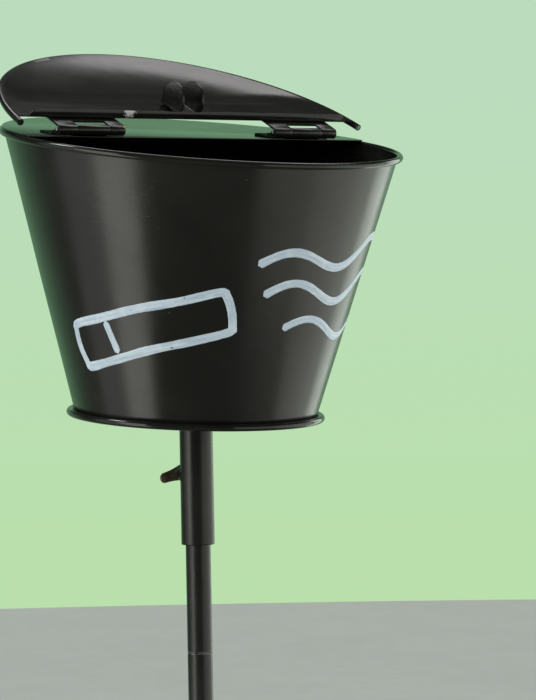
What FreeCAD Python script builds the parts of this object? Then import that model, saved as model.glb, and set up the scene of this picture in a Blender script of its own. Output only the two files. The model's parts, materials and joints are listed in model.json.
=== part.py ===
import FreeCAD, Part
import math
import os

# Ashtray bin: a tapered sheet steel bucket with a half-round hinged lid, on a pole with a round foot.
# Millimetres. Z is up, -Y is the front, the origin is on the floor under the pole.

Vector = FreeCAD.Vector
Placement = FreeCAD.Placement
Rotation = FreeCAD.Rotation

# Clearances
face_gap = 0.3            # between curved faces that move past each other, and at seats
running_gap = 0.06        # radial, a shaft that turns or slides in its hole
snug_gap = 0.03           # radial, a shaft that is fixed in its hole
sheet = 0.7               # every sheet metal wall
roll_overlap = 0.42       # how far a sheet runs into its rolled edge
past = 400.0              # reaches past the whole part, for the blocks that only cut

# Foot
base_radius = 150.0
base_thickness = 6.0
base_chamfer = 1.0
foot_radius = 12.0
foot_height = 3.0
foot_circle = 125.0       # radius of the circle that the four pads lie on
collar_flange_radius = 32.0
collar_flange_thickness = 5.0
collar_radius = 14.0
collar_height = 35.0
collar_screw_radius = 2.5
collar_screw_clearance = 0.25
collar_screw_circle = 23.5
collar_screw_count = 3
collar_head_radius = 4.5
collar_head_height = 2.6
collar_head_round = 1.0
collar_drive_radius = 1.9
collar_drive_depth = 1.6
set_screw_radius = 3.0
set_screw_height = 23.8    # above the plate
set_screw_proud = 0.8
set_drive_radius = 1.5
set_drive_depth = 2.5

# Pole
pole_radius = 8.0
pole_wall = 1.5
pole_joint_height = 672.0  # where the upper tube stands on the lower one
pole_joint_gap = 0.2
spigot_reach = 55.0        # how far the spigot goes into each tube
spigot_chamfer = 1.5

# Bucket
bucket_height = 825.0      # floor to the bucket's bottom, on the pole's axis
lean_angle = 4.95          # the bucket leans forward on its socket
bottom_radius = 77.5       # outside of the wall at the bottom
mouth_height = 173.35      # bottom to mouth, on the bucket's axis
mouth_slope = 4.27         # the mouth falls to the front by this much more than the bottom
rim_radius = 127.0         # centre of the mouth's rolled edge
rim_bead = 2.1
rim_wire_radius = 0.8
foot_bead_radius = 80.6    # centre of the bottom's rolled edge
foot_bead = 2.2
foot_wire_radius = 1.2

# Socket
socket_radius = 10.65
socket_length = 83.8       # below the bucket's bottom
socket_chamfer = 0.8
flange_radius = 30.0
flange_thickness = 2.5
flange_rivet_radius = 2.0
flange_rivet_circle = 21.0
flange_rivet_count = 3
clamp_drop = 38.0          # bucket's bottom to the clamp screw
boss_radius = 6.35
boss_end = 15.0            # distance of the boss's face from the pole's axis
screw_radius = 3.0
hub_radius = 5.0
hub_length = 6.0
wing_root_half = 4.6       # half the wing's width at the hub
wing_reach = 12.3          # screw axis to the centre of a wing's round tip
wing_tip_radius = 3.4
wing_thickness = 3.6
wing_sweep = 1.5           # the tips stand this far behind the hub's middle
wing_angle = 15.0          # the wings stand this far from level

# Cover plate, hinges and lid, in the plane of the mouth
cover_overhang = 3.9       # cover plate's front edge ahead of the hinge axis
hinge_setback = 6.1        # hinge axis behind the bucket's axis
hinge_spread = 81.0        # middle of a hinge from the middle of the bin
hinge_length = 48.0
knuckle_radius = 3.4
knuckle_room = 3.6         # between a knuckle and the leaf that is cut out around it
knuckle_first = 13.7       # lengths of a lid leaf's two knuckles, with the cover leaf's one between them
knuckle_last = 10.8
leaf_thickness = 1.2
leaf_reach = 22.5          # hinge axis to a leaf's far edge
pin_radius = 1.6
pin_overhang = 0.8
rivet_radius = 1.5
rivet_head_radius = 2.8
rivet_head_height = 1.0
rivet_foot_share = 0.85    # width of a rivet's closed end against its head
rivet_foot_height = 0.8
rivet_pitch = 16.0
cover_rivet_reach = 14.5
lid_rivet_reach = 17.0
open_angle = 164.9         # closed to the position at rest
lid_setback = 11.5         # hinge axis to the lid's straight edge
lid_radius = 128.3         # centre of the lid's rolled edge, which lies on the rim when shut
lid_offset = 4.6           # centre of the lid's circle behind the bucket's axis
lid_bead = 2.1
lid_bead_sink = 0.1        # the rolled edge reaches this far below the panel
lid_wire_radius = 1.0
lid_bead_end = 6.0         # hinge axis to the ends of the lid's rolled edge
lid_lip = 4.8              # depth of the turned lip below the panel
lid_lip_half = 121.0
dome_rise = 5.0
dome_margin = 9.0          # flat border outside the pressed dome
dome_slope_run = 22.0
dome_chord_slope = 15.4    # the dome's slope along its straight side
dome_clearance = 4.0       # between the dome and the bracket
bracket_width = 25.0
bracket_half = 8.0
ear_height = 20.0
bracket_gap = 0.6          # between the bracket and the lip

# Values worked out from the ones above
base_top = foot_height + base_thickness
pole_bore = pole_radius - pole_wall
socket_bore = pole_radius + running_gap
rim_bore = rim_wire_radius + snug_gap
mouth_wall_radius = rim_radius - rim_bore - roll_overlap
wall_taper = (mouth_wall_radius - bottom_radius) / mouth_height
slope_taper = wall_taper * math.tan(math.radians(mouth_slope))
mouth_offset = slope_taper * mouth_wall_radius / (1 - slope_taper ** 2)  # mouth's centre behind the axis
cover_top = rim_bead + face_gap + sheet
cover_low = cover_top - sheet
hinge_height = cover_top + face_gap + knuckle_radius
lid_top = hinge_height - knuckle_radius
lid_under = lid_top - sheet
lid_bead_height = lid_under + lid_bead - lid_bead_sink
lid_edge = hinge_setback - lid_setback
lid_lip_low = lid_under - lid_lip
pole_top = bucket_height - sheet - pole_radius * math.tan(math.radians(lean_angle)) - 2 * face_gap

lean = Rotation(Vector(1, 0, 0), lean_angle)
bucket_frame = Placement(Vector(0, 0, bucket_height), lean)
slope = Rotation(Vector(1, 0, 0), mouth_slope)
mouth_place = Placement(Vector(0, 0, mouth_height), slope)
mouth_frame = bucket_frame.multiply(mouth_place)
hinge_origin = Vector(0, hinge_setback, hinge_height)
swing = Placement(hinge_origin, Rotation(Vector(1, 0, 0), -open_angle))
lid_frame = mouth_frame.multiply(swing).multiply(Placement(hinge_origin.negative(), Rotation()))

parts = {}


def rod(radius, length, start=(0, 0, 0), along=(0, 0, 1)):
    return Part.makeCylinder(radius, length, Vector(*start), Vector(*along))


def tube(outer, inner, length, start=(0, 0, 0), along=(0, 0, 1)):
    return rod(outer, length, start, along).cut(rod(inner, length, start, along))


def block(low, high):
    size = [b - a for a, b in zip(low, high)]
    return Part.makeBox(size[0], size[1], size[2], Vector(*low))


def ring(radius, thickness, center=(0, 0, 0)):
    return Part.makeTorus(radius, thickness, Vector(*center), Vector(0, 0, 1))


def move(shape, frame):
    result = shape.copy()
    result.Placement = frame.multiply(result.Placement)
    return result


def around(shape, count, start_angle=0.0):
    copies = []
    for i in range(count):
        turned = shape.copy()
        turned.rotate(Vector(0, 0, 0), Vector(0, 0, 1), start_angle + 360.0 * i / count)
        copies.append(turned)
    return copies


def cut_all(shape, tools):
    for tool in tools:
        shape = shape.cut(tool)
    return shape


def rivet(x, y, low, high, head_radius, shank=rivet_radius):
    body = rod(shank, high - low, (x, y, low))
    top = rod(head_radius, rivet_head_height, (x, y, high))
    bottom = rod(head_radius * rivet_foot_share, rivet_foot_height, (x, y, low - rivet_foot_height))
    return body.fuse([top, bottom]).removeSplitter()


def foot():
    plate = rod(base_radius, base_thickness, (0, 0, foot_height))
    plate = plate.makeChamfer(base_chamfer, [e for e in plate.Edges if e.Length > base_radius])
    hole = rod(collar_screw_radius, base_thickness, (collar_screw_circle, 0, foot_height))
    parts["base_plate"] = cut_all(plate, around(hole, collar_screw_count, 90))
    pad = rod(foot_radius, foot_height, (foot_circle, 0, 0))
    parts["rubber_feet"] = Part.makeCompound(around(pad, 4, 45))


def collar():
    flange = rod(collar_flange_radius, collar_flange_thickness, (0, 0, base_top))
    hub = rod(collar_radius, collar_height, (0, 0, base_top))
    body = flange.fuse(hub).cut(rod(pole_radius + snug_gap, collar_height, (0, 0, base_top)))
    hole_radius = collar_screw_radius + collar_screw_clearance
    hole = rod(hole_radius, collar_flange_thickness, (collar_screw_circle, 0, base_top))
    body = cut_all(body, around(hole, collar_screw_count, 90))
    set_height = base_top + set_screw_height
    set_hole = rod(set_screw_radius + snug_gap, 2 * collar_radius, (0, 0, set_height), (0, 1, 0))
    parts["base_collar"] = body.cut(set_hole).removeSplitter()

    flange_top = base_top + collar_flange_thickness
    place = (collar_screw_circle, 0, flange_top)
    shank_start = (collar_screw_circle, 0, foot_height)
    shank = rod(collar_screw_radius - snug_gap, flange_top - foot_height, shank_start)
    head = rod(collar_head_radius, collar_head_height, place)
    head = head.makeFillet(collar_head_round, [head.Edges[0]])
    drive_start = (collar_screw_circle, 0, flange_top + collar_head_height - collar_drive_depth)
    screw = shank.fuse(head).cut(rod(collar_drive_radius, collar_drive_depth, drive_start))
    parts["collar_screws"] = Part.makeCompound(around(screw, collar_screw_count, 90))

    start = pole_radius + 2 * snug_gap
    end = collar_radius + set_screw_proud
    set_screw = rod(set_screw_radius, end - start, (0, start, set_height), (0, 1, 0))
    drive = rod(set_drive_radius, set_drive_depth, (0, end - set_drive_depth, set_height), (0, 1, 0))
    parts["collar_set_screw"] = set_screw.cut(drive)


def pole():
    parts["lower_pole"] = tube(pole_radius, pole_bore, pole_joint_height - base_top, (0, 0, base_top))
    bottom = rod(pole_bore - snug_gap, spigot_reach, (0, 0, pole_joint_height - spigot_reach))
    top = rod(pole_bore - running_gap, spigot_reach, (0, 0, pole_joint_height))
    tip_edges = [e for e in top.Edges if e.BoundBox.ZMin > pole_joint_height + 0.5 * spigot_reach]
    top = top.makeChamfer(spigot_chamfer, tip_edges)
    parts["pole_spigot"] = bottom.fuse(top)
    start = pole_joint_height + pole_joint_gap
    parts["upper_pole"] = tube(pole_radius, pole_bore, pole_top - start, (0, 0, start))


def bucket():
    above = block((-past, -past, 0), (past, past, past))
    above.Placement = mouth_place
    length = mouth_height + rim_radius * math.tan(math.radians(mouth_slope)) + 4 * rim_bead

    def cone(inset):
        start = bottom_radius - inset
        return Part.makeCone(start, start + wall_taper * length, length)

    wall = cone(0).cut(cone(sheet * math.sqrt(1 + wall_taper ** 2))).cut(above)
    center = (0, mouth_offset, 0)
    roll = ring(rim_radius, rim_bead, center).cut(ring(rim_radius, rim_bore, center))
    wall = wall.fuse(move(roll, mouth_place)).removeSplitter()
    parts["bucket_wall"] = move(wall, bucket_frame)
    parts["rim_wire"] = move(ring(rim_radius, rim_wire_radius, center), mouth_frame)

    disc = rod(foot_bead_radius - foot_wire_radius - roll_overlap, sheet, (0, 0, -sheet))
    roll = ring(foot_bead_radius, foot_bead).cut(ring(foot_bead_radius, foot_wire_radius + snug_gap))
    hole = rod(flange_rivet_radius + snug_gap, sheet, (flange_rivet_circle, 0, -sheet))
    bottom = cut_all(disc.fuse(roll), around(hole, flange_rivet_count, 90))
    parts["bucket_bottom"] = move(bottom.removeSplitter(), bucket_frame)
    parts["foot_wire"] = move(ring(foot_bead_radius, foot_wire_radius), bucket_frame)


def socket():
    low = -sheet - flange_thickness
    hole = rod(flange_rivet_radius + snug_gap, flange_thickness, (flange_rivet_circle, 0, low))
    flange = cut_all(rod(flange_radius, flange_thickness, (0, 0, low)), around(hole, flange_rivet_count, 90))
    start = (0, 0, bucket_height - socket_length)
    passage = rod(socket_radius + snug_gap, 2 * socket_length, start)
    parts["socket_flange"] = move(flange, bucket_frame).cut(passage)
    pin = rivet(flange_rivet_circle, 0, low, 0, 2 * flange_rivet_radius, flange_rivet_radius)
    parts["flange_rivets"] = move(Part.makeCompound(around(pin, flange_rivet_count, 90)), bucket_frame)

    sleeve = rod(socket_radius, 1.5 * socket_length, start)
    sleeve = sleeve.makeChamfer(socket_chamfer, [e for e in sleeve.Edges if e.BoundBox.ZMax < start[2] + 1])
    above = block((-past, -past, -sheet), (past, past, past))
    sleeve = sleeve.cut(rod(socket_bore, 2 * socket_length, start)).cut(move(above, bucket_frame))
    screw_height = bucket_height - clamp_drop
    screw_bore = rod(screw_radius + running_gap, 2 * boss_end, (0, 0, screw_height), (0, 1, 0))
    parts["socket_sleeve"] = sleeve.cut(screw_bore)
    boss = rod(boss_radius, boss_end, (0, 0, screw_height), (0, 1, 0))
    body_start = (0, 0, screw_height - 2 * boss_radius)
    body = rod(socket_radius + snug_gap, 4 * boss_radius, body_start)
    parts["clamp_boss"] = boss.cut(body).cut(screw_bore)


def wing_screw():
    height = bucket_height - clamp_drop
    tip = pole_radius + face_gap
    hub_start = boss_end + face_gap
    shank = rod(screw_radius, hub_start + 0.5 * hub_length - tip, (0, tip, height), (0, 1, 0))
    hub = rod(hub_radius, hub_length, (0, hub_start, height), (0, 1, 0))
    root = Vector(0, hub_start + 0.5 * (hub_length - wing_thickness), height)
    wings = []
    for side in (-1, 1):
        angle = math.radians(wing_angle)
        along = Vector(side * math.cos(angle), 0, side * math.sin(angle))
        across = Vector(-along.z, 0, along.x)
        tip_center = root + along * wing_reach + Vector(0, wing_sweep, 0)
        corners = [root + across * wing_root_half, tip_center + across * wing_tip_radius]
        corners += [tip_center - across * wing_tip_radius, root - across * wing_root_half]
        outline = Part.makePolygon(corners + corners[:1])
        wings.append(Part.Face(outline).extrude(Vector(0, wing_thickness, 0)))
        wings.append(rod(wing_tip_radius, wing_thickness, tuple(tip_center), (0, 1, 0)))
    parts["wing_screw"] = shank.fuse([hub] + wings).removeSplitter()


def rivet_places():
    return [side * hinge_spread + step * rivet_pitch for side in (-1, 1) for step in (-1, 0, 1)]


def cover():
    plate = rod(rim_radius, sheet, (0, mouth_offset, cover_low))
    plate = plate.cut(block((-past, -past, -past), (past, hinge_setback - cover_overhang, past)))
    y = hinge_setback + cover_rivet_reach
    holes = [rod(rivet_radius + snug_gap, sheet, (x, y, cover_low)) for x in rivet_places()]
    parts["cover_plate"] = move(cut_all(plate, holes), mouth_frame)


def leaf(left, right, low, reach, rivet_reach):
    near, far = sorted((hinge_setback, hinge_setback + reach))
    shape = block((left, near, low), (right, far, low + leaf_thickness))
    y = hinge_setback + rivet_reach
    places = [x for x in rivet_places() if left < x < right]
    return cut_all(shape, [rod(rivet_radius + snug_gap, leaf_thickness, (x, y, low)) for x in places])


def hinge(side, name):
    left = side * hinge_spread - 0.5 * hinge_length
    right = left + hinge_length
    split = 0.5 * face_gap
    first = left + knuckle_first
    second = right - knuckle_last
    room = knuckle_radius + knuckle_room

    def knuckle(start, end):
        return rod(knuckle_radius, end - start, (start, hinge_setback, hinge_height), (1, 0, 0))

    def notch(start, end):
        low = (start, hinge_setback - room, hinge_height - room)
        return block(low, (end, hinge_setback + room, hinge_height + room))

    def bore(radius):
        return rod(radius, hinge_length, (left, hinge_setback, hinge_height), (1, 0, 0))

    fixed = leaf(left, right, cover_top, leaf_reach, cover_rivet_reach)
    fixed = cut_all(fixed, [notch(left, first + split), notch(second - split, right)])
    fixed = fixed.fuse(knuckle(first + split, second - split)).cut(bore(pin_radius + snug_gap))
    parts["hinge_leaf_cover_" + name] = move(fixed.removeSplitter(), mouth_frame)

    moving = leaf(left, right, lid_top, -leaf_reach, -lid_rivet_reach)
    moving = moving.cut(notch(first - split, second + split))
    moving = moving.fuse([knuckle(left, first - split), knuckle(second + split, right)])
    moving = moving.cut(bore(pin_radius + running_gap))
    parts["hinge_leaf_lid_" + name] = move(moving.removeSplitter(), lid_frame)

    pin_length = hinge_length + 2 * pin_overhang
    pin = rod(pin_radius, pin_length, (left - pin_overhang, hinge_setback, hinge_height), (1, 0, 0))
    parts["hinge_pin_" + name] = move(pin, mouth_frame)


def hinge_rivets():
    y = hinge_setback + cover_rivet_reach
    high = cover_top + leaf_thickness
    fixed = [rivet(x, y, cover_low, high, rivet_head_radius) for x in rivet_places()]
    parts["hinge_rivets_cover"] = move(Part.makeCompound(fixed), mouth_frame)
    y = hinge_setback - lid_rivet_reach
    high = lid_top + leaf_thickness
    moving = [rivet(x, y, lid_under, high, rivet_head_radius) for x in rivet_places()]
    parts["hinge_rivets_lid"] = move(Part.makeCompound(moving), lid_frame)


def half_outline(radius, edge, height):
    half = math.sqrt(radius ** 2 - (edge - lid_offset) ** 2)
    left = Vector(-half, edge, height)
    right = Vector(half, edge, height)
    front = Vector(0, lid_offset - radius, height)
    return Part.Wire([Part.Arc(left, front, right).toShape(), Part.makeLine(right, left)])


def dome(drop):
    low = lid_under if drop else lid_top
    radius = lid_radius - dome_margin - drop
    edge = lid_edge - bracket_width - dome_clearance - drop
    outer = half_outline(radius, edge, low)
    inner = half_outline(radius - dome_slope_run, edge - dome_chord_slope, lid_top + dome_rise - drop)
    return Part.makeLoft([outer, inner], True, True)


def lip():
    low = (-lid_lip_half, lid_edge - sheet, lid_lip_low)
    return block(low, (lid_lip_half, lid_edge, lid_under + 0.5 * sheet))


def lid():
    keep = block((-past, -past, -past), (past, hinge_setback - lid_bead_end, past))
    center = (0, lid_offset, lid_bead_height)
    roll = ring(lid_radius, lid_bead, center).cut(ring(lid_radius, lid_wire_radius + snug_gap, center))
    disc = rod(lid_radius, sheet, (0, lid_offset, lid_under))
    panel = disc.cut(block((-past, lid_edge, -past), (past, past, past)))
    panel = panel.fuse(dome(0)).cut(dome(sheet))
    panel = panel.fuse([roll.common(keep), lip()])
    y = hinge_setback - lid_rivet_reach
    places = [(x, y, lid_under) for x in rivet_places()]
    places += [(0, y, lid_under) for y in bracket_rivet_places()]
    panel = cut_all(panel, [rod(rivet_radius + snug_gap, sheet, place) for place in places])
    parts["lid_panel"] = move(panel.removeSplitter(), lid_frame)
    parts["lid_wire"] = move(ring(lid_radius, lid_wire_radius, center).common(keep), lid_frame)


def bracket_rivet_places():
    start = lid_edge - sheet - bracket_gap
    return [start - 0.25 * bracket_width, start - 0.75 * bracket_width]


def bracket():
    near = lid_edge - sheet - bracket_gap
    far = near - bracket_width
    middle = 0.5 * (near + far)
    base_low = lid_under - leaf_thickness
    shape = block((-bracket_half, far, base_low), (bracket_half, near, lid_under))
    ear_end = lid_under - ear_height + 0.5 * bracket_width
    ears = []
    for x in (-bracket_half, bracket_half - leaf_thickness):
        ears.append(block((x, far, ear_end), (x + leaf_thickness, near, lid_under)))
        tip = rod(0.5 * bracket_width, leaf_thickness, (x, middle, ear_end), (1, 0, 0))
        ears.append(tip.cut(block((-past, -past, ear_end), (past, past, past))))
    holes = [rod(rivet_radius + snug_gap, leaf_thickness, (0, y, base_low)) for y in bracket_rivet_places()]
    shape = cut_all(shape.fuse(ears).removeSplitter(), holes)
    parts["rest_bracket"] = move(shape, lid_frame)
    rivets = [rivet(0, y, base_low, lid_top, rivet_head_radius) for y in bracket_rivet_places()]
    parts["bracket_rivets"] = move(Part.makeCompound(rivets), lid_frame)


foot()
collar()
pole()
bucket()
socket()
wing_screw()
cover()
hinge(-1, "left")
hinge(1, "right")
hinge_rivets()
lid()
bracket()

os.makedirs("parts", exist_ok=True)
for name, shape in parts.items():
    if not shape.isValid():
        print("not valid:", name)
    shape.exportStep("parts/" + name + ".step")
    box = shape.BoundBox
    print(name, len(shape.Solids), "solids", round(shape.Volume / 1000, 2), "cm3",
          [round(v, 1) for v in (box.XMin, box.YMin, box.ZMin, box.XMax, box.YMax, box.ZMax)])

print("hinge axis", mouth_frame.multVec(hinge_origin), "pole top", pole_top)
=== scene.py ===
import json
import math
import random

import bmesh
import bpy
from mathutils import Matrix, Vector, noise


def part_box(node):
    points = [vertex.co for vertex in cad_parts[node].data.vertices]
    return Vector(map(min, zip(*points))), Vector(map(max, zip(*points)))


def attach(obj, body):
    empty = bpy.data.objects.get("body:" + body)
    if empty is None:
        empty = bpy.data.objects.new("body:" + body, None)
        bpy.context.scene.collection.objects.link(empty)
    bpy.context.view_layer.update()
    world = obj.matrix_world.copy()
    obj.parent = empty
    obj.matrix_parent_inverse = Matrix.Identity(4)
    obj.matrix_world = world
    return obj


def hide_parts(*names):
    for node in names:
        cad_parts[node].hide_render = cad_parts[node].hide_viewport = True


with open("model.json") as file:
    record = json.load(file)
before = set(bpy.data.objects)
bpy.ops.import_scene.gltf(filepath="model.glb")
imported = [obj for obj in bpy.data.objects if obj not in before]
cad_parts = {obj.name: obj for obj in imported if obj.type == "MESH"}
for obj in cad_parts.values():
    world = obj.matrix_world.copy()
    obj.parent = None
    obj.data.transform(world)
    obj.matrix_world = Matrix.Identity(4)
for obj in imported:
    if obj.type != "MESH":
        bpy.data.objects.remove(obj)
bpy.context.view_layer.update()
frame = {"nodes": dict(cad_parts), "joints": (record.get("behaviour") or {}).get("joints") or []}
jointNamed = {joint["name"]: joint for joint in frame["joints"]}
mm = 0.001
print("frame loaded:", len(frame["nodes"]), "nodes")


# places that the pieces are built in, read from the frame

rimWire = 0.8 * mm
footWire = 1.2 * mm
openAngle = math.radians(164.9)   # the lid as it stands, from shut


def ringPlace(node, wire):
    low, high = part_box(node)
    radius = 0.5 * (high.x - low.x) - wire
    tilt = math.asin((0.5 * (high.z - low.z) - wire) / radius)
    return Matrix.Translation((low + high) / 2) @ Matrix.Rotation(tilt, 4, "X"), radius


rimPlace, rimRadius = ringPlace("rim_wire", rimWire)
footPlace, footRadius = ringPlace("foot_wire", footWire)
hingeWorld = Vector(jointNamed["lid_hinge"]["pos_m"])
hingePoint = rimPlace.inverted() @ hingeWorld
hingePoint.x = 0.0
toHinge = Matrix.Translation(hingePoint)
alongY = Matrix.Rotation(-math.pi / 2, 4, "X")   # turns a lathed piece to lie front to back
lidPlace = rimPlace @ toHinge @ Matrix.Rotation(-openAngle, 4, "X") @ toHinge.inverted()
hingeY = hingePoint.y / mm
hingeZ = hingePoint.z / mm


# mesh helpers, in millimetres

def ringPoint(radius, angle, height=0.0):
    return radius * math.cos(angle), radius * math.sin(angle), height


def spacedAround(radius, count, start):
    # places evenly spaced around the axis, from a start angle in degrees
    return [ringPoint(radius, math.radians(start + 360 * k / count)) for k in range(count)]


def arc(centerX, centerY, radius, start, end, count):
    points = []
    for step in range(count + 1):
        angle = math.radians(start + (end - start) * step / count)
        points.append((centerX + radius * math.cos(angle), centerY + radius * math.sin(angle)))
    return points


def meshOf(points, faces):
    mesh = bpy.data.meshes.new("work")
    mesh.from_pydata([Vector(point) * mm for point in points], [], faces)
    return tidyMesh(mesh)


def tidyMesh(mesh):
    work = bmesh.new()
    work.from_mesh(mesh)
    bmesh.ops.remove_doubles(work, verts=work.verts, dist=0.004 * mm)
    bmesh.ops.dissolve_degenerate(work, edges=work.edges, dist=0.002 * mm)
    bmesh.ops.recalc_face_normals(work, faces=work.faces)
    work.to_mesh(mesh)
    work.free()
    return mesh


def skin(rows, count, around=True, closed=False, capped=False):
    # quads between rows of count points: around joins a row's two ends, closed the last row to the first
    faces = []
    for row in range(rows if closed else rows - 1):
        here, there = row * count, (row + 1) % rows * count
        for k in range(count if around else count - 1):
            after = (k + 1) % count
            faces.append([here + k, here + after, there + after, there + k])
    if capped:
        faces += [list(range(count)), list(range((rows - 1) * count, rows * count))]
    return faces


def lathe(profile, steps=96, center=(0, 0, 0), turn=None):
    # a closed profile of (radius, height); a point on the axis closes a solid
    points, rows, faces = [], [], []
    for radius, height in profile:
        count = 1 if radius < 1e-6 else steps
        rows.append(range(len(points), len(points) + count))
        points += [ringPoint(radius, 2 * math.pi * step / steps, height) for step in range(count)]
    onAxis = len(rows[0]) == 1
    for index in range(len(rows) - 1 if onAxis else len(rows)):
        low, high = rows[index], rows[(index + 1) % len(rows)]
        for step in range(steps):
            after = (step + 1) % steps
            corners = [(low, step), (low, after), (high, after), (high, step)]
            faces.append(list(dict.fromkeys(row[place % len(row)] for row, place in corners)))
    mesh = meshOf(points, faces)
    if turn:
        mesh.transform(turn)
    mesh.transform(Matrix.Translation(Vector(center) * mm))
    return mesh


def extrude(profile, start, end, axis="X"):
    # a closed outline pulled from start to end along an axis
    points = []
    for place in (start, end):
        for first, second in profile:
            points.append((place, first, second) if axis == "X" else (first, second, place))
    return meshOf(points, skin(2, len(profile), capped=True))


def joined(meshes):
    work = bmesh.new()
    for mesh in meshes:
        work.from_mesh(mesh)
    result = bpy.data.meshes.new("joined")
    work.to_mesh(result)
    work.free()
    return result


def withModifier(mesh, kind, **settings):
    thing = bpy.data.objects.new("work", mesh)
    bpy.context.scene.collection.objects.link(thing)
    modifier = thing.modifiers.new("work", kind)
    for key, value in settings.items():
        setattr(modifier, key, value)
    depsgraph = bpy.context.evaluated_depsgraph_get()
    result = bpy.data.meshes.new_from_object(thing.evaluated_get(depsgraph))
    bpy.data.objects.remove(thing)
    return result


def softened(mesh, width, segments=2, angle=40):
    return withModifier(mesh, "BEVEL", width=width * mm, segments=segments, limit_method="ANGLE",
                        angle_limit=math.radians(angle))


def united(mesh, other):
    tool = bpy.data.objects.new("tool", other)
    bpy.context.scene.collection.objects.link(tool)
    result = withModifier(mesh, "BOOLEAN", operation="UNION", object=tool, solver="EXACT")
    bpy.data.objects.remove(tool)
    return result


def addPiece(name, mesh, look, body, place=None, stands=(), sharp=38):
    mesh.name = name
    if place:
        mesh.transform(place)
    mesh.materials.clear()
    mesh.materials.append(look)
    mesh.shade_smooth()
    mesh.set_sharp_from_angle(angle=math.radians(sharp))
    thing = bpy.data.objects.new(name, mesh)
    bpy.context.scene.collection.objects.link(thing)
    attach(thing, body)
    if stands:
        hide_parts(*stands)
    return thing


# finishes

class Nodes:
    # short hand for wiring the nodes of a material or of the world
    def __init__(self, owner, coordinates="Object"):
        owner.use_nodes = True
        self.owner = owner
        self.tree = owner.node_tree
        self.place = self.added("ShaderNodeTexCoord", {}, coordinates)

    def plug(self, source, target):
        if isinstance(source, bpy.types.NodeSocket):
            self.tree.links.new(source, target)
        else:
            target.default_value = source

    def added(self, kind, inputs, output=0, **settings):
        # a new node with its inputs set or linked
        node = self.tree.nodes.new(kind)
        for key, value in settings.items():
            setattr(node, key, value)
        for key, value in inputs.items():
            self.plug(value, node.inputs[key])
        return node.outputs[output]

    def noise(self, scale, detail=2.0, rough=0.5, place=None, distortion=0.0):
        inputs = {"Scale": scale, "Detail": detail, "Roughness": rough, "Distortion": distortion}
        return self.added("ShaderNodeTexNoise", {**inputs, "Vector": place or self.place}, "Fac")

    def stretched(self, scale, turn=(0, 0, 0), source=None):
        inputs = {"Scale": scale, "Rotation": [math.radians(angle) for angle in turn]}
        return self.added("ShaderNodeMapping", {**inputs, "Vector": source or self.place}, "Vector")

    def ramp(self, source, low, high, fromValue=0.0, toValue=1.0):
        inputs = {"Value": source, "From Min": low, "From Max": high, "To Min": fromValue, "To Max": toValue}
        return self.added("ShaderNodeMapRange", inputs, "Result", interpolation_type="SMOOTHSTEP")

    def math(self, operation, first, second=0.0):
        return self.added("ShaderNodeMath", {0: first, 1: second}, operation=operation)

    def mix(self, factor, first, second):
        return self.added("ShaderNodeMix", {0: factor, 6: first, 7: second}, 2, data_type="RGBA")

    def level(self):
        return self.added("ShaderNodeSeparateXYZ", {0: self.place}, "Z")

    def specks(self, scale, size, share):
        # a few round specks: one in each of a share of the cells
        away = self.added("ShaderNodeTexVoronoi", {"Scale": scale, "Vector": self.place}, "Distance")
        draw = self.added("ShaderNodeSeparateColor", {"Color": away.node.outputs["Color"]})
        chosen = self.math("GREATER_THAN", draw, 1 - share)
        return self.math("MULTIPLY", self.ramp(away, size, 0.4 * size), chosen)

    def spot(self, center, radius, feather=0.35):
        # 1 within a ragged spot around a point of the object
        away = self.added("ShaderNodeVectorMath", {0: self.place, 1: center}, "Value", operation="DISTANCE")
        uneven = self.ramp(self.noise(700), 0.3, 0.7, -0.4 * radius, 0.4 * radius)
        return self.ramp(self.math("ADD", away, uneven), radius * (1 + feather), radius * (1 - feather))

    def marked(self, paint, where, tone, tint, rougher):
        # a paint's color and roughness, changed where the marks are
        color, roughness = paint
        color = self.mix(self.math("MULTIPLY", where, tint), color, tone)
        return color, self.math("ADD", roughness, self.math("MULTIPLY", where, rougher))

    def bump(self, height, distance, after=None):
        inputs = {"Distance": distance, "Height": height, **({"Normal": after} if after else {})}
        return self.added("ShaderNodeBump", inputs, "Normal")

    def finish(self, color, roughness, normal=None, metallic=0.0):
        shader = self.tree.nodes["Principled BSDF"]
        self.plug(color, shader.inputs["Base Color"])
        self.plug(roughness, shader.inputs["Roughness"])
        shader.inputs["Metallic"].default_value = metallic
        if normal:
            self.plug(normal, shader.inputs["Normal"])
        return self.owner


def shaded(color, share):
    return tuple(share * value for value in color[:3]) + (1,)


blackEnamel = dict(color=(0.0082, 0.0085, 0.0068, 1), pale=(0.0125, 0.0128, 0.0105, 1),
                   # the dust tone colours the dust nibs, wipe marks and scuffs, and also the painted
                   # highlight ring
                   dustAndHighlightTone=(0.22, 0.22, 0.2, 1), roughness=(0.2, 0.26), grain=1500, grainDepth=0.00001,
                   waves=110, waveDepth=0.00004, speckScale=120, speckSize=0.045, speckShare=0.12,
                   speckTint=0.55, speckHeight=0.00008, wipeTint=0.12, scuffTint=0.4, scuffRougher=0.25,
                   # the last three values below set the painted highlight ring: how far it is lightened, how
                   # much rougher it is, and how wide it is
                   chipRougher=0.2, highlightRingTint=0.6, jointRingRougher=0.15, highlightRingHalf=(0.0011, 0.0005))


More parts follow.
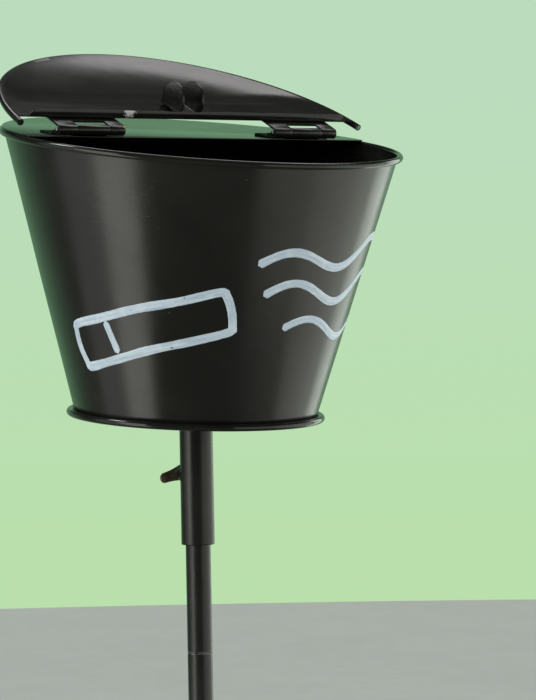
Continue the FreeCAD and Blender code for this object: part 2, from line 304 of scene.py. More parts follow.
def enamel(name, scuff=None, chips=(), scratches=True, highlightRingAt=None, **changes):
    # sprayed black enamel over sheet steel: orange peel, smears, dust nibs, wipe marks and chips, and, where
    # a height is given, a painted highlight: a lighter ring around that height
    look = dict(blackEnamel, **changes)
    dustAndHighlight = look["dustAndHighlightTone"]
    n = Nodes(bpy.data.materials.new(name))
    smear = n.ramp(n.noise(14, 4, 0.6, distortion=0.6), 0.35, 0.7)
    specks = n.specks(look["speckScale"], look["speckSize"], look["speckShare"])
    color = n.mix(smear, look["color"], look["pale"])
    color = n.mix(n.math("MULTIPLY", specks, look["speckTint"]), color, dustAndHighlight)
    paint = color, n.ramp(n.noise(32, 5, 0.65), 0.3, 0.7, *look["roughness"])
    if scratches:
        fine = n.noise(60, 6, 0.75, n.stretched((0.35, 0.35, 9.0), (4, 0, 0)))
        area = n.ramp(n.noise(9, 2, 0.5), 0.5, 0.68)
        wiped = n.math("MULTIPLY", n.ramp(fine, 0.62, 0.74), area)
        paint = n.marked(paint, wiped, dustAndHighlight, look["wipeTint"], look["wipeTint"])
    if scuff:
        fine = n.noise(150, 5, 0.7, n.stretched((0.8, 0.8, 8.0), (5, 0, 0)))
        scuffed = n.math("MULTIPLY", n.ramp(fine, 0.6, 0.68), n.spot(*scuff, 0.6))
        paint = n.marked(paint, scuffed, dustAndHighlight, look["scuffTint"], look["scuffRougher"])
    for center, radius, tone in chips:
        paint = n.marked(paint, n.spot(center, radius), tone, 1.0, look["chipRougher"])
    # painted highlight: the paint is lightened in a patchy ring at the given height, in place of light on the
    # pole joint's edge; the ring is also rougher
    if highlightRingAt:
        fromEdge = n.math("ABSOLUTE", n.math("SUBTRACT", n.level(), highlightRingAt))
        patchy = n.ramp(n.noise(260, 4, 0.7), 0.3, 0.6)
        paintedHighlightRing = n.math("MULTIPLY", n.ramp(fromEdge, *look["highlightRingHalf"]), patchy)
        paint = n.marked(paint, paintedHighlightRing, dustAndHighlight, look["highlightRingTint"], look["jointRingRougher"])
    normal = n.bump(n.noise(look["waves"], 2, 0.4), look["waveDepth"])
    normal = n.bump(n.noise(look["grain"], 2, 0.5), look["grainDepth"], normal)
    normal = n.bump(specks, look["speckHeight"], normal)
    return n.finish(*paint, normal)


brushPaint = dict(thin=(0.40, 0.49, 0.60, 1), thick=(0.64, 0.74, 0.84, 1), ridge=(0.80, 0.86, 0.91, 1),
                  wornThrough=(0.03, 0.03, 0.032, 1), ridgeTint=0.45, depth=0.00006, roughness=(0.38, 0.55))


def whitePaint(name):
    # brush marker white: streaks along the stroke, thin patches rubbed through
    look = brushPaint
    n = Nodes(bpy.data.materials.new(name))
    along = n.added("ShaderNodeUVMap", {}, "UV")
    streak = n.noise(1.0, 4, 0.6, n.stretched((28, 620, 1), source=along))
    cloud = n.noise(130, 4, 0.6)
    color = n.mix(n.ramp(streak, 0.3, 0.72), look["thin"], look["thick"])
    color = n.mix(n.ramp(cloud, 0.45, 0.75, 0.0, look["ridgeTint"]), color, look["ridge"])
    patch = n.ramp(n.noise(38, 2, 0.5), 0.5, 0.6)
    wear = n.math("MULTIPLY", n.ramp(n.noise(230, 5, 0.7), 0.645, 0.69), patch)
    color = n.mix(wear, color, look["wornThrough"])
    return n.finish(color, n.ramp(cloud, 0.3, 0.7, *look["roughness"]), n.bump(streak, look["depth"]))


def steel(name, color=(0.42, 0.42, 0.41, 1)):
    # drawn wire and turned pin ends
    n = Nodes(bpy.data.materials.new(name))
    drawn = n.noise(420, 4, 0.6, n.stretched((0.2, 1, 1)))
    tint = n.mix(n.ramp(n.noise(160, 3), 0.4, 0.7), color, shaded(color, 0.6))
    return n.finish(tint, n.ramp(drawn, 0.3, 0.7, 0.25, 0.45), n.bump(drawn, 0.00002), 1.0)


def rubber(name):
    # moulded black rubber
    n = Nodes(bpy.data.materials.new(name))
    grain = n.noise(1400, 3, 0.6)
    color = n.mix(n.ramp(n.noise(60, 3), 0.3, 0.7), (0.016, 0.016, 0.016, 1), (0.032, 0.031, 0.029, 1))
    return n.finish(color, n.ramp(grain, 0.3, 0.7, 0.7, 0.9), n.bump(grain, 0.00005))


def floorPaint(name, color):
    n = Nodes(bpy.data.materials.new(name))
    tone = n.mix(n.ramp(n.noise(3, 2), 0.3, 0.7), color, shaded(color, 0.97))
    return n.finish(tone, n.ramp(n.noise(20, 2), 0.3, 0.7, 0.6, 0.75))


# bucket wall, with its rolled mouth

bucket = dict(footOuter=77.5, height=173.35, wallAtMouth=125.75, sheet=0.7, bead=2.1, around=288, rows=30,
              topBelow=1.35, innerBelow=0.4, wobble=0.28, ripples=(2.2, 2.5), seamHalf=3.6, seamRows=40,
              seamLow=0.018, seamRun=0.965, seamSpread=48)
mouthPlace = footPlace.inverted() @ rimPlace   # the mouth, in the frame of the bucket's bottom
bucketScuff = (Vector((-0.098, -0.072, 0.955)), 0.019)


def onMouth(radius, angle, height=0.0):
    return mouthPlace @ (Vector(ringPoint(radius, angle, height)) * mm) / mm


def wallPoint(angle, share, inset=0.0):
    # a point of the wall, in the frame of the bucket's bottom: angle around, share of the way up
    low = Vector(ringPoint(bucket["footOuter"] - inset, angle))
    high = onMouth(bucket["wallAtMouth"] - inset, angle)
    swell = math.sin(math.pi * min(max(share, 0), 1))
    across, up = bucket["ripples"]
    ripple = noise.noise(Vector(ringPoint(across, angle, up * share)) + Vector((3.1, 7.7, 1.3)))
    return low.lerp(high, share) + Vector(ringPoint(1, angle)) * (bucket["wobble"] * ripple * swell)


def wallNormal(angle, share):
    step = 0.01
    across = wallPoint(angle + step, share) - wallPoint(angle - step, share)
    up = wallPoint(angle, share + step) - wallPoint(angle, share - step)
    return across.cross(up).normalized()


def finishBead(thing, place, radius, bead, look):
    # the rolled edge's own, glossier, finish
    thing.data.materials.append(look)
    back = place.inverted()
    reach = bead + 0.15
    for face in thing.data.polygons:
        center = back @ face.center / mm
        if math.hypot(math.hypot(center.x, center.y) - radius, center.z) < reach:
            face.material_index = 1


def makeBucketWall(look, beadLook):
    b = bucket
    bead = arc(rimRadius / mm, 0, b["bead"], -140, 190, 22)[1:-1]
    topShare = 1 - b["topBelow"] / b["height"]
    innerShare = 1 - b["innerBelow"] / b["height"]
    rows, points = range(b["rows"] + 1), []
    for step in range(b["around"]):
        angle = 2 * math.pi * step / b["around"]
        points += [wallPoint(angle, topShare * row / b["rows"]) for row in rows]
        points += [onMouth(radius, angle, height) for radius, height in bead]
        points += [wallPoint(angle, innerShare * row / b["rows"], b["sheet"]) for row in reversed(rows)]
    mesh = meshOf(points, skin(b["around"], len(points) // b["around"], closed=True))
    wall = addPiece("bucketWall", mesh, look, "bucket", footPlace, ["bucket_wall"], 50)
    finishBead(wall, rimPlace, rimRadius / mm, b["bead"], beadLook)


def makeWallSeam(look):
    # the lap where the sheet's two ends are folded together, at the back
    b = bucket
    outline = [(-1.0, -0.1), (-0.95, 0.3), (-0.86, 0.48), (-0.7, 0.5)]
    outline += [(-side, rise) for side, rise in reversed(outline)]
    points = []
    for row in range(b["seamRows"] + 1):
        share = b["seamLow"] + b["seamRun"] * row / b["seamRows"]
        radius = b["footOuter"] + b["seamSpread"] * share
        for side, rise in outline:
            angle = math.pi / 2 + side * b["seamHalf"] / radius
            points.append(wallPoint(angle, share) + wallNormal(angle, share) * rise)
    mesh = meshOf(points, skin(b["seamRows"] + 1, len(outline), capped=True))
    addPiece("wallSeam", mesh, look, "bucket", footPlace)


# bucket bottom, with the rolled edge that holds the wall

bottom = dict(bead=2.2, sheet=0.7, crown=0.6, flangeEdge=30, crownEnd=60, flat=74, seat=77.6, lead=78.6,
              tuck=76.5)


def makeBucketBottom(look, beadLook):
    b = bottom
    radius, sheet = footRadius / mm, b["sheet"]
    high, falling = 0.9 * b["crown"], 0.3 * b["crown"]
    profile = [(0, b["crown"]), (b["flangeEdge"], high), (b["crownEnd"], falling), (b["flat"], 0),
               (b["seat"], 0), (b["lead"], 0.15)]
    profile += arc(radius, 0, b["bead"], 176, -168, 26)
    profile += [(b["tuck"], -sheet), (b["crownEnd"], falling - sheet), (b["flangeEdge"] + 0.5, high - sheet),
                (b["flangeEdge"] - 0.5, -sheet), (0, -sheet)]
    mesh = lathe(profile, 256)
    disc = addPiece("bucketBottom", mesh, look, "bucket", footPlace, ["bucket_bottom"], 50)
    finishBead(disc, footPlace, radius, b["bead"], beadLook)


# cover plate over the back half of the mouth

cover = dict(low=2.4, sheet=0.7, radius=127.0, overhang=3.9, corner=2.5, cornerTurn=1.2)


def makeCoverPlate(look):
    c = cover
    front, corner = hingeY - c["overhang"], c["corner"]
    half = math.sqrt(c["radius"] ** 2 - front ** 2)
    start = math.degrees(math.asin(front / c["radius"])) + c["cornerTurn"]
    outline = arc(0, 0, c["radius"], start, 180 - start, 128)
    outline += arc(-half + corner, front + corner, corner, 190, 270, 6)
    outline += arc(half - corner, front + corner, corner, 270, 350, 6)
    mesh = softened(extrude(outline, c["low"], c["low"] + c["sheet"], "Z"), 0.22, 3)
    addPiece("coverPlate", mesh, look, "bucket", rimPlace, ["cover_plate"])


# hinges: two leaves curled around a pin, and their rivets

hinge = dict(spread=81.0, length=48.0, knuckle=3.4, room=3.6, first=13.7, last=10.8, leaf=1.2, reach=22.5,
             slit=0.15, corner=2.0, coverTop=3.1, lidTop=3.4, pin=1.6, overhang=0.8, rivetPitch=16.0,
             coverRivets=14.5, lidRivets=17.0)
rivet = dict(shank=1.5, head=2.8, rise=1.0, closedRise=0.8, closedShare=0.85)


def leafMesh(left, right, low, side, knuckles):
    # side is +1 for the leaf that runs back, -1 for the leaf that runs forward
    h = hinge
    near, corner = h["knuckle"] + h["room"], h["corner"]
    outline = arc(left + corner, side * (h["reach"] - corner), corner, 180, 180 - 90 * side, 5)
    outline += arc(right - corner, side * (h["reach"] - corner), corner, 90 * side, 0, 5)
    outline += [(right, side * near), (left, side * near)]
    mesh = extrude([(x, y + hingeY) for x, y in outline], low, low + h["leaf"], "Z")
    drop = low - hingeZ
    profile = [(near + 0.6, drop), (1.6, drop + 0.02)]
    profile += arc(0, 0, h["knuckle"], -78, -342, 30)
    profile += arc(0, 0, h["knuckle"] - h["leaf"], -342, -62, 24)
    profile += [(near + 0.6, drop + h["leaf"])]
    for start, end in knuckles:
        curl = extrude([(side * y + hingeY, z + hingeZ) for y, z in profile], start, end)
        mesh = united(mesh, curl)
    return softened(mesh, 0.16, 2, 50)


def rivetMesh(x, y, low, high, shank=rivet["shank"], head=rivet["head"]):
    rise, drop, foot = rivet["rise"], rivet["closedRise"], rivet["closedShare"] * head
    dome = [(head * math.cos(a), high + rise * math.sin(a)) for a in [math.pi / 2 * k / 6 for k in range(6)]]
    closed = [(foot * math.cos(a), low - drop * math.sin(a)) for a in [math.pi / 2 * k / 5 for k in range(5)]]
    profile = [(0, high + rise)] + dome[::-1] + [(shank, high), (shank, low)] + closed + [(0, low - drop)]
    return lathe(profile, 28, (x, y, 0))


def makeHinge(side, name, looks):
    h = hinge
    left = side * h["spread"] - h["length"] / 2
    right = left + h["length"]
    first, second = left + h["first"], right - h["last"]
    slit = h["slit"]
    fixed = leafMesh(left, right, h["coverTop"], 1, [(first + slit, second - slit)])
    addPiece("hingeLeafCover_" + name, fixed, looks["hinge"], "bucket", rimPlace,
             ["hinge_leaf_cover_" + name])
    moving = leafMesh(left, right, h["lidTop"], -1, [(left, first - slit), (second + slit, right)])
    addPiece("hingeLeafLid_" + name, moving, looks["hinge"], "lid", lidPlace,
             ["hinge_leaf_lid_" + name])
    end, pin = h["length"] / 2 + h["overhang"], h["pin"]
    tip = [(0, end + 0.25), (0.8, end + 0.2), (1.35, end), (pin, end - 0.35)]
    profile = [(radius, -height) for radius, height in tip] + tip[::-1]
    mesh = lathe(profile, 32, (side * h["spread"], hingeY, hingeZ), Matrix.Rotation(math.pi / 2, 4, "Y"))
    addPiece("hingePin_" + name, mesh, looks["steel"], "bucket", rimPlace,
             ["hinge_pin_" + name])


def makeHingeRivets(look):
    h = hinge
    places = [side * h["spread"] + step * h["rivetPitch"] for side in (-1, 1) for step in (-1, 0, 1)]
    fixed = [rivetMesh(x, hingeY + h["coverRivets"], cover["low"], h["coverTop"] + h["leaf"]) for x in places]
    addPiece("hingeRivetsCover", joined(fixed), look, "bucket", rimPlace,
             ["hinge_rivets_cover"])
    moving = [rivetMesh(x, hingeY - h["lidRivets"], lid["under"], h["lidTop"] + h["leaf"]) for x in places]
    addPiece("hingeRivetsLid", joined(moving), look, "lid", lidPlace, ["hinge_rivets_lid"])


# lid: a pressed half disc with a rolled edge and a turned lip

lid = dict(radius=128.3, setBack=2.0, under=2.7, sheet=0.7, bead=2.1, beadHeight=4.7, edge=11.5,
           beadEnd=6.0, lip=4.8, lipHalf=121.0, bend=1.1, rise=5.0, margin=1.5, run=48.0, chordMargin=24.0,
           chordRun=34.0, columns=176, rows=30, wobble=0.1)


def lidHeight(x, y):
    # height of the pressing above the lid's flat edge
    fromRim = lid["radius"] - math.hypot(x, y - lid["setBack"])
    fromChord = hingeY - lid["edge"] - y
    crown = 1 - (1 - min(max((fromRim - lid["margin"]) / lid["run"], 0.0), 1.0)) ** 2
    strip = min(max((fromChord - lid["chordMargin"]) / lid["chordRun"], 0.0), 1.0)
    rise = lid["rise"] * crown * strip * strip * (3 - 2 * strip)
    return rise + lid["wobble"] * noise.noise(Vector((x, y, 0)) / 38)


def makeLidPanel(look):
    d = lid
    chord = hingeY - d["edge"]
    beadEnd = hingeY - d["beadEnd"]
    lowest = math.asin((beadEnd - d["setBack"]) / d["radius"])
    corner = math.asin((chord - d["setBack"]) / d["radius"])
    roll = arc(d["radius"], d["beadHeight"], d["bead"], -96, 208, 22)
    stub = [lowest + (corner - lowest) * k / 4 for k in range(4)]
    main = [corner + (-math.pi / 2 - corner) * (k / (d["columns"] / 2)) for k in range(d["columns"] // 2 + 1)]
    right = stub + main
    angles = right + [-math.pi - angle for angle in reversed(right[:-1])]
    points = []
    for angle in angles:
        def beadPoint(radius, height):
            outward = Vector((math.cos(angle), math.sin(angle), 0))
            return Vector((0, d["setBack"], 0)) + outward * radius + Vector((0, 0, height))

        edge = beadPoint(d["radius"] - 0.25, 0)
        start = Vector((edge.x, max(chord - d["bend"], edge.y), 0))
        under, over = [], []
        for row in range(d["rows"] + 1):
            share = row / d["rows"]
            spot = start.lerp(edge, share)
            height = lidHeight(spot.x, spot.y) if edge.y < chord else 0.0
            under.append(spot + Vector((0, 0, d["under"] + height)))
            over.append(spot + Vector((0, 0, d["under"] + d["sheet"] + height)))
        over = over[:-1] + [beadPoint(d["radius"] - 1.95, d["under"] + d["sheet"])]
        curl = [beadPoint(radius, height) for radius, height in roll]
        depth = min(max((d["lipHalf"] - abs(edge.x)) / d["lip"], 0.0), 1.0)
        lip = []
        if start.y < chord - 1e-6:
            sweep = 90 * min(1.0, depth * 3)
            pivotZ = d["under"] + d["sheet"] - d["bend"]
            for k in range(7):
                turn = math.radians(sweep * k / 6)
                lip.append((d["bend"] * math.sin(turn), pivotZ + d["bend"] * math.cos(turn)))
            foot = d["under"] - d["lip"] * depth
            large, small = d["bend"], d["bend"] - d["sheet"]
            tail = [(large, foot + 0.2), (large - 0.2, foot), (small + 0.2, foot), (small, foot + 0.2)]
            lip += tail if depth > 0.34 else [lip[-1]] * 4   # the corners keep only the bend
            for k in range(7):
                turn = math.radians(sweep * (6 - k) / 6)
                lip.append((small * math.sin(turn), pivotZ + small * math.cos(turn)))
            lipPoints = [Vector((start.x, start.y + y, z)) for y, z in lip]
        else:
            lipPoints = [over[0].lerp(under[0], k / 17) for k in range(18)]
        points.append(under + curl + over[::-1] + lipPoints)
    faces = skin(len(points), len(points[0]), capped=True)
    mesh = meshOf([point for column in points for point in column], faces)
    addPiece("lidPanel", mesh, look, "lid", lidPlace, ["lid_panel"], 50)


# rest bracket inside the lid: a strip folded into two ears

bracket = dict(half=8.0, width=25.0, height=20.0, sheet=1.2, bend=2.0, gap=0.6, web=2.5, across=14)


def makeRestBracket(look):
    b = bracket
    near = hingeY - lid["edge"] - lid["sheet"] - b["gap"]
    middle = near - b["width"] / 2
    top = lid["under"]
    low = top - b["height"]
    inside = b["half"] - b["sheet"] / 2
    bendZ = top - b["sheet"] / 2 - b["bend"]
    half = [(-inside, low + (bendZ - low) * (1 - math.cos(math.pi / 2 * k / 16))) for k in range(17)]
    half += arc(-inside + b["bend"], bendZ, b["bend"], 180, 90, 6)[1:]
    half.append((-b["web"], half[-1][1]))
    line = half + [(-x, z) for x, z in reversed(half)]
    points, across = [], b["across"]
    for x, z in line:
        fromTip = z - low
        wide = b["width"] / 2
        if fromTip < wide:
            wide = math.sqrt(max(wide ** 2 - (wide - fromTip) ** 2, 0.01))
        points += [(x, middle + wide * (2 * k / across - 1), z) for k in range(across + 1)]
    sheet = meshOf(points, skin(len(line), across + 1, around=False))
    mesh = softened(withModifier(sheet, "SOLIDIFY", thickness=b["sheet"] * mm, offset=0.0), 0.2, 2, 50)
    addPiece("restBracket", mesh, look, "lid", lidPlace, ["rest_bracket"])
    places = [near - share * b["width"] for share in (0.25, 0.75)]
    rivets = [rivetMesh(0, y, top - b["sheet"], top + lid["sheet"]) for y in places]
    addPiece("bracketRivets", joined(rivets), look, "lid", lidPlace, ["bracket_rivets"])


# socket under the bucket, its flange, rivets, boss and welds

socket = dict(outer=10.65, bore=8.06, chamfer=0.8, belowBottom=1.2, flange=30.0, flangeSheet=2.5,
              rivetCircle=21.0, rivetShank=2.0, rivetHead=4.0, rivetTop=0.62, boss=6.35, thread=3.06,
              bossStart=8.9, weld=1.6, flangeWeld=2.2)


def flangeBead(radius, height, size):
    # a small rippled weld bead around a tube
    random.seed(4)
    steps, across, lumps = 120, 7, 34
    points = []
    for step in range(steps):
        angle = 2 * math.pi * step / steps
        swell = size * (1 + 0.10 * math.sin(lumps * angle) + random.uniform(-0.03, 0.03))
        for k in range(across):
            turn = math.pi / 2 * k / (across - 1)
            drop = swell * (1 - 0.72 * math.cos(turn))
            points.append(ringPoint(radius + swell * (1 - 0.72 * math.sin(turn)), angle, height - drop))
        points += [ringPoint(radius - 0.2, angle, level) for level in (height - size, height + 0.1)]
    return meshOf(points, skin(steps, across + 2, closed=True))


def bossBead(axisZ):
    # the weld where the boss meets the round sleeve
    s = socket
    random.seed(11)
    steps, across, lumps = 72, 6, 17
    points = []
    for step in range(steps):
        angle = 2 * math.pi * step / steps
        swell = s["weld"] * (1 + 0.12 * math.sin(lumps * angle) + random.uniform(-0.04, 0.04))
        turns = [math.pi / 2 * k / (across - 1) for k in range(across)]
        ring = [(s["boss"] + swell * (1 - 0.75 * math.sin(turn)), swell * (1 - 0.75 * math.cos(turn)))
                for turn in turns]
        ring += [(s["boss"] - 0.2, s["weld"]), (s["boss"] - 0.2, -0.3)]
        for k, (out, lift) in enumerate(ring):
            x, z, _ = ringPoint(out, angle)
            base = math.sqrt(max(s["outer"] ** 2 - x * x, 0.5)) - (0.15 if k == 0 else 0)
            points.append((x, base + lift, axisZ + z))
    return meshOf(points, skin(steps, across + 2, closed=True))


def makeSocket(looks):
    s = socket
    low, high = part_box("socket_sleeve")
    lowest, chamfer = low.z / mm, s["chamfer"]
    highest = high.z / mm - s["belowBottom"]
    profile = [(s["bore"], lowest + 0.4), (s["bore"] + 0.4, lowest)]
    profile += arc(s["outer"] - chamfer, lowest + chamfer, chamfer, -90, 0, 5)
    profile += [(s["outer"], highest), (s["bore"], highest)]
    addPiece("socketSleeve", lathe(profile), looks["tube"], "bucket", None,
             ["socket_sleeve"], 50)

    sheet = -bottom["sheet"]
    under = sheet - s["flangeSheet"]
    hole, edge = s["outer"] + 0.05, s["flange"]
    profile = [(hole, under), (edge - 0.7, under), (edge - 0.2, under + 0.2), (edge, under + 0.7),
               (edge, sheet), (hole, sheet)]
    addPiece("socketFlange", lathe(profile, 128), looks["tube"], "bucket", footPlace,
             ["socket_flange"], 30)
    rivets = [rivetMesh(x, y, under, s["rivetTop"], s["rivetShank"], s["rivetHead"])
              for x, y, _ in spacedAround(s["rivetCircle"], 3, 90)]
    addPiece("flangeRivets", joined(rivets), looks["hinge"], "bucket", footPlace,
             ["flange_rivets"])
    weld = flangeBead(s["outer"], under + 0.05, s["flangeWeld"])
    addPiece("flangeWeld", weld, looks["tube"], "bucket", footPlace)

    axisZ = jointNamed["clamp_turn"]["pos_m"][2] / mm
    end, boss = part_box("clamp_boss")[1].y / mm, s["boss"]
    profile = [(s["thread"], s["bossStart"]), (s["thread"], end - 0.3), (3.4, end), (boss - 0.6, end),
               (boss - 0.17, end - 0.17), (boss, end - 0.6), (boss, s["bossStart"])]
    mesh = lathe(profile, 64, (0, 0, axisZ), alongY)
    addPiece("clampBoss", mesh, looks["tube"], "bucket", None, ["clamp_boss"], 50)
    addPiece("bossWeld", bossBead(axisZ), looks["tube"], "bucket")


# wing screw

wing = dict(screw=3.0, pitch=1.0, hub=5.0, hubLength=6.0, hubGap=0.3, inner=2.5, reach=12.3, root=4.6,
            tip=3.4, thick=1.8, thickest=1.9, angle=15.0, sweep=1.5, voxel=0.28)


def ellipsoid(center, sizes):
    work = bmesh.new()
    bmesh.ops.create_uvsphere(work, u_segments=28, v_segments=18, radius=mm)
    mesh = bpy.data.meshes.new("ellipsoid")
    work.to_mesh(mesh)
    work.free()
    mesh.transform(Matrix.Diagonal((*sizes, 1)))
    mesh.transform(Matrix.Translation(Vector(center) * mm))
    return mesh


def makeWingScrew(look):
    w = wing
    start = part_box("wing_screw")[0].y / mm
    axis = Vector(jointNamed["clamp_turn"]["pos_m"]) / mm
    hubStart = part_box("clamp_boss")[1].y / mm + w["hubGap"]
    hub, hubEnd = w["hub"], hubStart + w["hubLength"]
    profile = [(0, hubStart), (hub - 0.5, hubStart), (hub, hubStart + 0.5), (hub, hubStart + 3.4),
               (hub - 0.6, hubStart + 5.1), (hub - 2.2, hubEnd), (0, hubEnd)]
    parts = [lathe(profile, 48, (0, 0, axis.z), alongY)]
    middle = hubStart + w["hubLength"] / 2
    for side in (-1, 1):
        angle = math.radians(w["angle"])
        along = Vector((side * math.cos(angle), 0, side * math.sin(angle)))
        for share in [k / 12 for k in range(13)]:
            bulge = math.sin(math.pi * share)
            wide = (w["root"] + (w["tip"] - w["root"]) * share) * (1 - 0.06 * bulge)
            thick = min(w["thick"] * (1.15 - 0.35 * bulge), w["thickest"])
            center = Vector((0, middle + w["sweep"] * share, axis.z))
            center += along * (w["inner"] + (w["reach"] - w["inner"]) * share)
            parts.append(ellipsoid(center, (wide, thick, wide)))
    solid = withModifier(joined(parts), "REMESH", mode="VOXEL", voxel_size=w["voxel"] * mm)
    solid = withModifier(solid, "SMOOTH", factor=0.5, iterations=5)
    radius, height = w["screw"] - 0.06, start + 0.5
    profile = [(0, start), (radius - 0.7, start), (radius - 0.35, start + 0.4)]
    while height < hubStart - 0.2:
        profile += [(radius, height), (radius - 0.28, height + w["pitch"] / 2)]
        height += w["pitch"]
    profile += [(radius, hubStart + 1.0), (0, hubStart + 1.0)]
    shank = lathe(profile, 40, (0, 0, axis.z), alongY)
    addPiece("wingScrew", joined([solid, shank]), look, "wing_screw", None,
             ["wing_screw"], 60)


# pole and foot

stand = dict(pole=8.0, bore=6.5, base=150.0, baseThickness=6.0, edge=1.6, collar=14.0, collarHeight=35.0,
             flange=32.0, flangeThickness=5.0, fillet=2.5, screwCircle=23.5, screwHead=4.5,
             screwHeadHeight=2.6, drive=1.9, driveDepth=1.6, padCircle=125.0, pad=12.0, padHeight=3.0,
             setHeight=23.8, setScrew=3.0, setDrive=1.5, setDepth=2.5)


def tubeMesh(low, high, outer, bore, edge=0.25):
    rows = [(outer, low + edge + (high - low - 2 * edge) * k / 12) for k in range(13)]
    profile = [(bore, low + edge), (bore + edge, low), (outer - edge, low)] + rows
    return lathe(profile + [(outer - edge, high), (bore + edge, high), (bore, high - edge)])


def screwHead(low, high):
    # a pan head with a socket
    s = stand
    outer, drive = s["screwHead"], s["drive"]
    return [(0, high - s["driveDepth"]), (drive, high - s["driveDepth"]), (drive, high - 0.15),
            (drive + 0.2, high), (outer * 0.72, high - 0.05), (outer * 0.9, high - 0.4), (outer, high - 1.0),
            (outer, low), (0, low)]


def makeStand(looks):
    s = stand

    def standPiece(name, mesh, look, node, body="stand", sharp=40):
        addPiece(name, mesh, looks[look], body, None, [node], sharp)

    for name, node, body in (("lowerPole", "lower_pole", "stand"), ("upperPole", "upper_pole", "upper_pole")):
        low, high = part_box(node)
        tube = tubeMesh(low.z / mm, high.z / mm, s["pole"], s["bore"])
        standPiece(name, tube, "pole", node, body, 30)
    under, base, edge = s["padHeight"], s["padHeight"] + s["baseThickness"], s["edge"]
    profile = [(0, base), (40, base)] + arc(s["base"] - edge, base - edge, edge, 90, 0, 6)
    profile += arc(s["base"] - 0.8, under + 0.8, 0.8, 0, -90, 4) + [(40, under), (0, under)]
    standPiece("basePlate", lathe(profile, 256), "pole", "base_plate")

    flangeTop, collarTop = base + s["flangeThickness"], base + s["collarHeight"]
    fillet, hole = s["fillet"], s["pole"] + 0.03
    profile = [(hole, base), (s["flange"], base)]
    profile += arc(s["flange"] - 1.0, flangeTop - 1.0, 1.0, 0, 90, 4)
    profile += arc(s["collar"] + fillet, flangeTop + fillet, fillet, 270, 180, 6)
    profile += arc(s["collar"] - 1.2, collarTop - 1.2, 1.2, 0, 90, 4)
    profile += [(s["pole"] + 0.5, collarTop), (hole, collarTop - 0.5)]
    standPiece("baseCollar", lathe(profile, 128), "pole", "base_collar")

    head = screwHead(flangeTop + 0.02, flangeTop + s["screwHeadHeight"])
    heads = [lathe(head, 36, place) for place in spacedAround(s["screwCircle"], 3, 90)]
    standPiece("collarScrews", joined(heads), "fastener", "collar_screws")
    low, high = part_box("collar_set_screw")
    start, end, drive, screw = low.y / mm, high.y / mm, s["setDrive"], s["setScrew"]
    profile = [(0, end - s["setDepth"]), (drive, end - s["setDepth"]), (drive, end - 0.1), (drive + 0.2, end),
               (screw - 0.4, end), (screw, end - 0.4), (screw, start + 0.5), (0, start)]
    grub = lathe(profile, 36, (0, 0, base + s["setHeight"]), alongY)
    standPiece("collarSetScrew", grub, "fastener", "collar_set_screw")
    profile = [(0, 0.5), (4.5, 0.5), (5.2, 0)] + arc(s["pad"] - 0.7, 0.7, 0.7, -90, 0, 4)
    profile += [(s["pad"], under), (0, under)]
    pads = [lathe(profile, 48, place) for place in spacedAround(s["padCircle"], 4, 45)]
    standPiece("rubberFeet", joined(pads), "rubber", "rubber_feet")


# hand painted marking on the wall: a cigarette and drifting smoke

marking = dict(radius=104.0, width=5.6, thick=0.16, step=1.4, across=8, sunk=0.12, clear=0.02)


def markPoint(along, up):
    # millimetres around from the front and up the wall, to a place on the wall
    return -math.pi / 2 + along / marking["radius"], up / bucket["height"]


def throughPoints(points, closed=False):
    # evenly spaced places on a smooth line through the points
    count = len(points)
    spans = count if closed else count - 1
    fine = []
    for index in range(spans):
        places = range(index - 1, index + 3)
        near = [place % count if closed else min(max(place, 0), count - 1) for place in places]
        before, start, end, after = [Vector(points[place]) for place in near]
        for k in range(24):
            t = k / 24
            bend = 2 * before - 5 * start + 4 * end - after
            twist = 3 * start - before - 3 * end + after
            fine.append(0.5 * (2 * start + (end - before) * t + bend * t ** 2 + twist * t ** 3))
    fine.append(Vector(points[0] if closed else points[-1]))
    line, travelled = [fine[0]], 0.0
    for before, after in zip(fine, fine[1:]):
        travelled += (after - before).length
        if travelled >= marking["step"]:
            line.append(after)
            travelled = 0.0
    if (line[-1] - fine[-1]).length > 0.2:
        line.append(fine[-1])
    return line


def wander(x, y, z):
    return noise.noise(Vector((x, y, z)))


